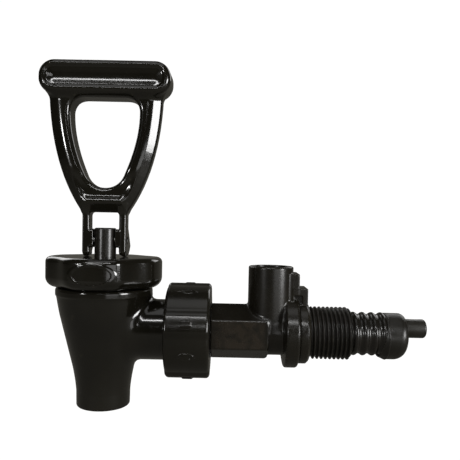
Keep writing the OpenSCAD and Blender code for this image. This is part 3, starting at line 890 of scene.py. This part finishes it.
GLOSS = moulded("gloss_black", (0.0066, 0.0059, 0.0039), 0.13, 10 * UM, 0.8 * UM, coat=0.35)
SATIN = moulded("satin_black", (0.0078, 0.0069, 0.0047), 0.20, 6 * UM, 1.2 * UM)
# The shank gets a painted sheen on its hexagon's front flat, which faces the camera.
SHANK = moulded(
    "shank_black", (0.0086, 0.0073, 0.0048), 0.24, 12 * UM, 3.5 * UM, painted_sheen=sheen_painted_flat
)
THREAD = moulded("thread_black", (0.0080, 0.0069, 0.0047), 0.40, 6 * UM, 6 * UM, slot="shank_black")
MATTE = moulded("matte_black", (0.0085, 0.0075, 0.0053), 0.38, 12 * UM, 10 * UM)
ACETAL_BLACK = moulded("black_acetal", (0.0100, 0.0088, 0.0064), 0.28, 6 * UM, 4 * UM)
RUBBER = soft("black_rubber", (0.0072, 0.0063, 0.0048), (0.0115, 0.0102, 0.0080), 0.24, 4 * UM)
ACETAL = soft("natural_acetal", (0.66, 0.65, 0.60), (0.76, 0.75, 0.71), 0.4, 4 * UM, 0.2, "acetal")
SILICONE = soft("silicone", (0.58, 0.56, 0.50), (0.70, 0.68, 0.62), 0.45, 6 * UM, 0.5)
STEEL_X = steel("steel_pin", "x")
STEEL_Z = steel("steel_wire", "z")


# ------------------------------------------------------------------ pieces

shank_box = (SHANK_LOW, Vector((WASHER_END + FIT, SHANK_HIGH.y, SHANK_HIGH.z)))
at_tube, at_pivot = (0, 0, TUBE_Z), (0, 0, PIVOT_Z)

sculpted("handle_loop", handle_field, span("handle"), 0.42, "handle", "handle", GLOSS)
sculpted("bonnet_cap", bonnet_field, span("bonnet"), 0.4, "bonnet", "bonnet", GLOSS)
sculpted("body_casting", body_field, span("faucet_body"), 0.45, "faucet_body", "root", GLOSS)
sculpted("coupling_ring_nut", nut_field, span("coupling_nut"), 0.32, "coupling_nut", "nut", SATIN)
sculpted("shank_body", shank_field, shank_box, 0.36, "shank", "root", SHANK)
lathe("shank_thread", thread_outline(), "x", None, "root", THREAD, segments=180, wave=thread_rise)
lathe("tail_sleeve", sleeve_outline(), "x", "ribbed_tail", "root", RUBBER)
sculpted("tail_end_cap", cap_field, span("tail_cap"), 0.3, "tail_cap", "root", MATTE)
lathe("inlet_tip_tube", tube_outline(), "x", "inlet_tube", "root", MATTE, at_tube, 96)
lathe("flange_washer", washer_outline(), "x", "shank_washer", "root", SHANK)
lathe("stem_rod", stem_outline(), "z", "valve_stem", "stem", ACETAL_BLACK, segments=96)
lathe("pivot_rod", pin_outline(), "x", "pivot_pin", "stem", STEEL_X, at_pivot, 48)
coil = swept_grid(spring_rings(), False)
spring = add_piece("spring_coil", *coil, "closing_spring", "top_works", STEEL_Z)
squash_with_stem(spring)
cup = lathe("cup_thimble", cup_outline(), "z", "seat_cup", "top_works", SILICONE, segments=128)
squash_with_stem(cup)

# CAD nodes whose turned shape is already right keep it and get a finish.
KEPT = {
    "slip_washer": ACETAL,
    "slip_ring": ACETAL,
    "upper_spring_washer": STEEL_Z,
    "lower_spring_washer": STEEL_Z,
    "c_ring": STEEL_X,
    "coupling_gasket": RUBBER,
    "gauge_seal": RUBBER,
    "tail_o_ring": RUBBER,
    "tube_o_ring": RUBBER,
}
for node_name, finish in KEPT.items():
    finish_with(frame["nodes"][node_name], finish)


# ------------------------------------------------------------------ stage, light and camera


def sheet(name, outline, half_width):
    """A curved sheet through (y, z) points, as wide as asked."""
    mesh = bpy.data.meshes.new(name)
    points = [(s * half_width, y, z) for y, z in outline for s in (-1, 1)]
    faces = [(2 * i, 2 * i + 1, 2 * i + 3, 2 * i + 2) for i in range(len(outline) - 1)]
    mesh.from_pydata(points, [], faces)
    mesh.shade_smooth()
    piece = bpy.data.objects.new(name, mesh)
    bpy.context.scene.collection.objects.link(piece)
    return piece


FLOOR_Z = -0.10
FLOOR_REACH = 2.5
SWEEP_R = 0.35
SWEEP_Y = 0.75
WALL_TOP = 1.8
curve = arc(SWEEP_Y, FLOOR_Z + SWEEP_R, SWEEP_R, -90, 0, 24)
section = [(-FLOOR_REACH, FLOOR_Z)] + curve + [(SWEEP_Y + SWEEP_R, WALL_TOP)]
backdrop = sheet("backdrop", section, FLOOR_REACH)
# The camera sees bright paper, while the object gets only a faint glow from it.
paper = Nodes("paper")
seen = paper.add("ShaderNodeLightPath").outputs["Is Camera Ray"]
paper.set(
    Base_Color=paper.blend(paper.noise(6, 3), (0.085, 0.082, 0.072, 1), (0.10, 0.097, 0.085, 1)),
    Roughness=0.9,
    Emission_Color=paper.blend(seen, (1, 0.94, 0.80, 1), (1, 1, 1, 1)),
    Emission_Strength=paper.spread(seen, 0.0, 1.0, 0.06, 1.0),
)
backdrop.data.materials.append(paper.material)


AIM = Vector((0.05, 0, 0.07))


def softbox(name, width, height, power, azimuth, elevation, distance):
    """An area light that faces the object. Azimuth 0 is the camera's side, and it grows to the
    right."""
    light = bpy.data.lights.new(name, "AREA")
    light.shape = "RECTANGLE"
    light.size, light.size_y, light.energy = width, height, power
    a, e = math.radians(azimuth), math.radians(elevation)
    away = Vector((math.sin(a) * math.cos(e), -math.cos(a) * math.cos(e), math.sin(e)))
    lamp = bpy.data.objects.new(name, light)
    lamp.location = AIM + away * distance
    lamp.rotation_euler = away.to_track_quat("Z", "Y").to_euler()
    bpy.context.scene.collection.objects.link(lamp)


softbox("key", 0.12, 0.09, 1.9, -40, 8, 1.0)
softbox("right", 0.30, 0.36, 6.5, 57, 7, 1.0)
softbox("front_high", 0.80, 0.055, 2.9, -6, 40, 1.0)
softbox("front_strip", 0.20, 0.03, 0.16, 0, 17, 1.0)
softbox("right_low", 0.46, 0.16, 0.4, 27, -3, 0.9)
softbox("top", 0.70, 0.45, 0.7, 0, 78, 0.9)
softbox("rear_left", 0.50, 0.50, 1.6, -142, 30, 1.0)
softbox("rear_right", 0.50, 0.50, 1.6, 142, 30, 1.0)

# The room, too, is pale to the camera and dim to the object.
world = bpy.data.worlds.new("studio")
world.use_nodes = True
room = world.node_tree
pale = room.nodes.new("ShaderNodeMix")
pale.data_type = "RGBA"
pale.inputs[COLOUR_A].default_value = (0.022, 0.0205, 0.017, 1)
pale.inputs[COLOUR_B].default_value = (1, 1, 1, 1)
room.links.new(room.nodes.new("ShaderNodeLightPath").outputs["Is Camera Ray"], pale.inputs[0])
room.links.new(pale.outputs[COLOUR_OUT], room.nodes["Background"].inputs["Color"])
bpy.context.scene.world = world
bpy.context.scene.view_settings.view_transform = "Standard"

# The camera stands close in front, tipped a little down and turned about its own axis. The shift
# of its lens puts back what the tip moves in the picture.
CAMERA_AT = Vector((0.0529, -0.229, AXIS_Z * MM + 0.0429))
CAMERA_ROLL = math.radians(1.25)
CAMERA_TIP = math.radians(2.2)
LENS, SENSOR = 42.26, 36.0
camera_data = bpy.data.cameras.new("camera")
camera_data.lens, camera_data.sensor_width = LENS, SENSOR
camera_data.shift_y = math.tan(CAMERA_TIP) * LENS / SENSOR
camera = bpy.data.objects.new("camera", camera_data)
turned = Matrix.Rotation(math.pi / 2 - CAMERA_TIP, 3, "X") @ Matrix.Rotation(CAMERA_ROLL, 3, "Z")
camera.matrix_world = Matrix.Translation(CAMERA_AT) @ turned.to_4x4()
bpy.context.scene.collection.objects.link(camera)
bpy.context.scene.camera = camera
